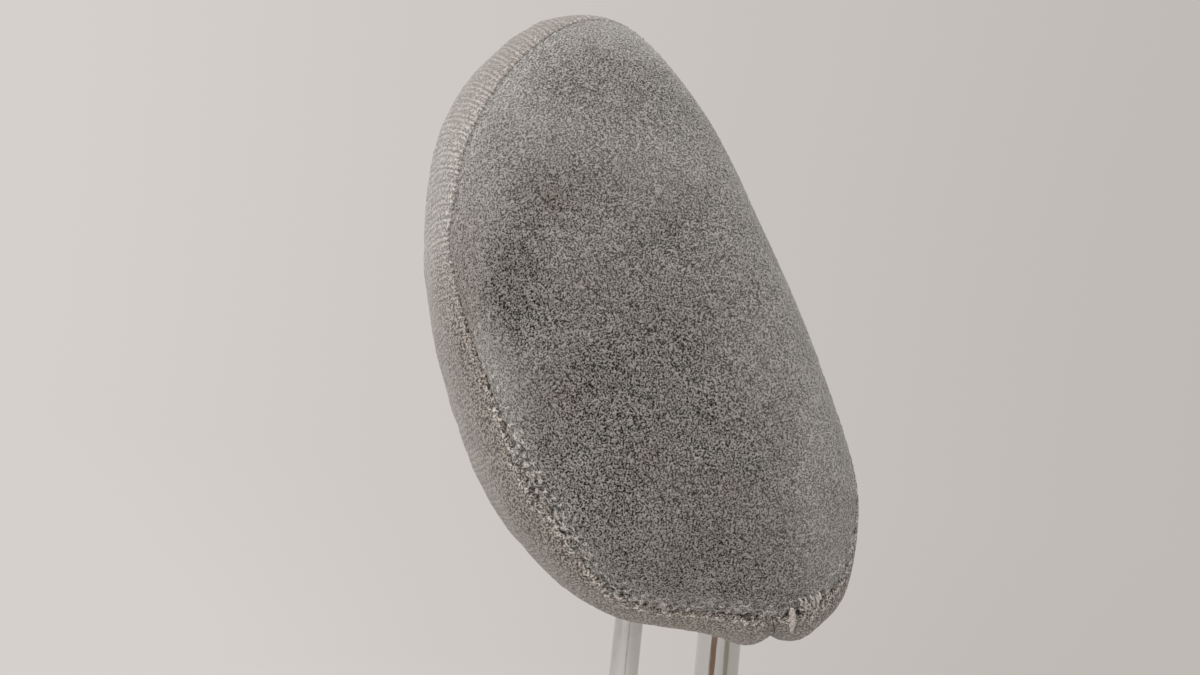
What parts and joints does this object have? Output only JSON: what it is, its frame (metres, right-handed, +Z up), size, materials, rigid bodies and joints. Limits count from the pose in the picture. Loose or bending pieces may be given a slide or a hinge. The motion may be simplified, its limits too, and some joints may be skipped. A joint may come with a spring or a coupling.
{
  "type": "car headrest",
  "caption": "Egg-shaped padded car headrest in grey velour on a chromed inverted-U stay, tilting about the stay's crossbar.",
  "frame": {"origin": "midway between the centres of the two post tips", "axes": "+Z up along the posts, -Y towards the sitter's head, X along the crossbar with +X towards the end panel seen in the picture"},
  "size_m": [0.256, 0.1371, 0.3423],
  "materials": {
    "chrome": "bright chrome plate on steel bar",
    "zinc_steel": "dull zinc-plated steel",
    "spring_steel": "blued spring steel strip",
    "black_plastic": "moulded black plastic",
    "pale_plastic": "natural moulded plastic",
    "foam": "moulded polyurethane foam",
    "band_velour": "warm grey velour with fine cross ribs, worn",
    "end_velour": "neutral mid-grey speckled plush velour, worn and slightly brown in places"
  },
  "bodies": {
    "stay": {"stay": "chrome", "stop_pin": "zinc_steel"},
    "cushion": {"core_front": "black_plastic", "core_rear": "black_plastic", "core_screw_1": "zinc_steel", "core_screw_2": "zinc_steel", "core_screw_3": "zinc_steel", "core_screw_4": "zinc_steel", "pivot_bush_left": "pale_plastic", "pivot_bush_right": "pale_plastic", "friction_clip_left": "spring_steel", "friction_clip_right": "spring_steel", "foam_pad": "foam", "cover_band": "band_velour", "cover_side_left": "end_velour", "cover_side_right": "end_velour", "closure_strip_front": "pale_plastic", "closure_strip_rear": "pale_plastic"}
  },
  "joints": [
    {"name": "cushion_tilt", "type": "hinge", "parent": "stay", "child": "cushion", "pos_m": [0, 0, 0.212], "axis": [1, 0, 0], "range_deg": [-20, 10]}
  ]
}
